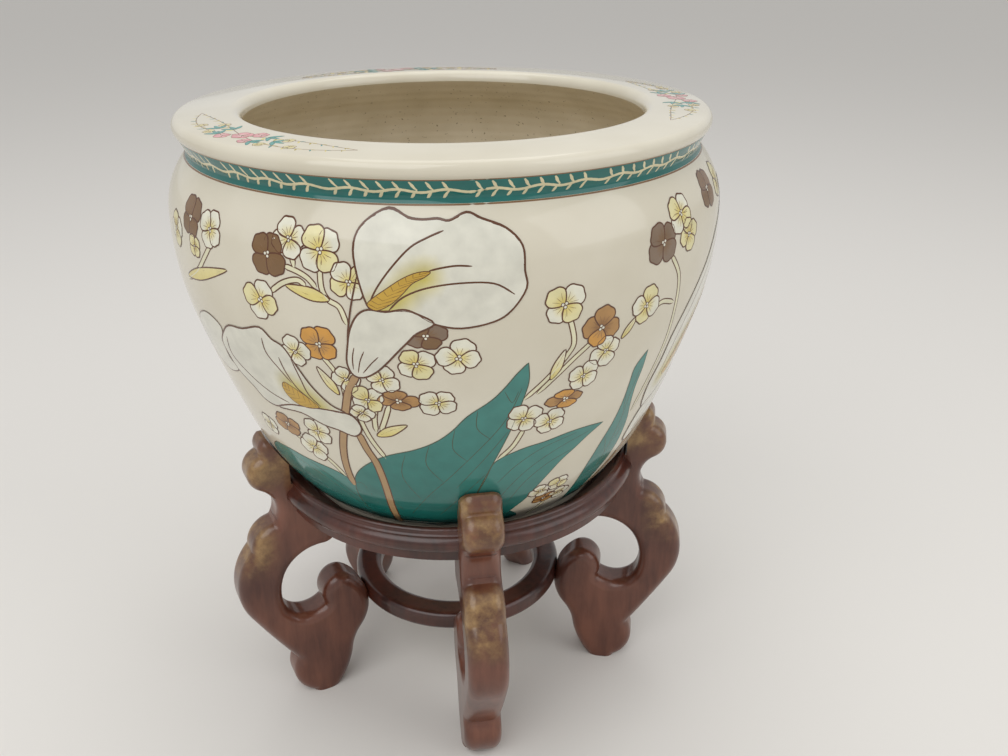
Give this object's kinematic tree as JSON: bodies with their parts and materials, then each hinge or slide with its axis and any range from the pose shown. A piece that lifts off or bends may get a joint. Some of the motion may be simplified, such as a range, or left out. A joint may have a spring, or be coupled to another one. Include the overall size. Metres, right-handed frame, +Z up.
{
  "type": "jardiniere on stand",
  "caption": "Deep round glazed bowl with a broad flat lip, resting in the moulded seat ring of a wooden stand with scrolled legs tied by a plain lower ring.",
  "frame": {"origin": "on the floor under the middle of the stand", "axes": "+Z up along the bowl's axis; one leg stands towards -Y"},
  "size_m": [0.3755, 0.3754, 0.4521],
  "materials": {
    "porcelain": "glossy ivory glaze with painted flowers",
    "stained_wood": "dark red-brown gloss stain",
    "plain_wood": "unfinished",
    "screw_steel": "plain steel"
  },
  "bodies": {
    "stand": {"seat_ring_segment_1": "stained_wood", "seat_ring_segment_2": "stained_wood", "seat_ring_segment_3": "stained_wood", "seat_ring_segment_4": "stained_wood", "seat_ring_segment_5": "stained_wood", "leg_1": "stained_wood", "leg_2": "stained_wood", "leg_3": "stained_wood", "leg_4": "stained_wood", "leg_5": "stained_wood", "lower_ring": "stained_wood", "segment_dowels": "plain_wood", "seat_screws": "screw_steel", "scroll_screws": "screw_steel"},
    "bowl": {"bowl": "porcelain"}
  },
  "joints": [
    {"name": "bowl_lift", "type": "slide", "parent": "stand", "child": "bowl", "axis": [0, 0, 1], "range_m": [0, 0.25]}
  ]
}
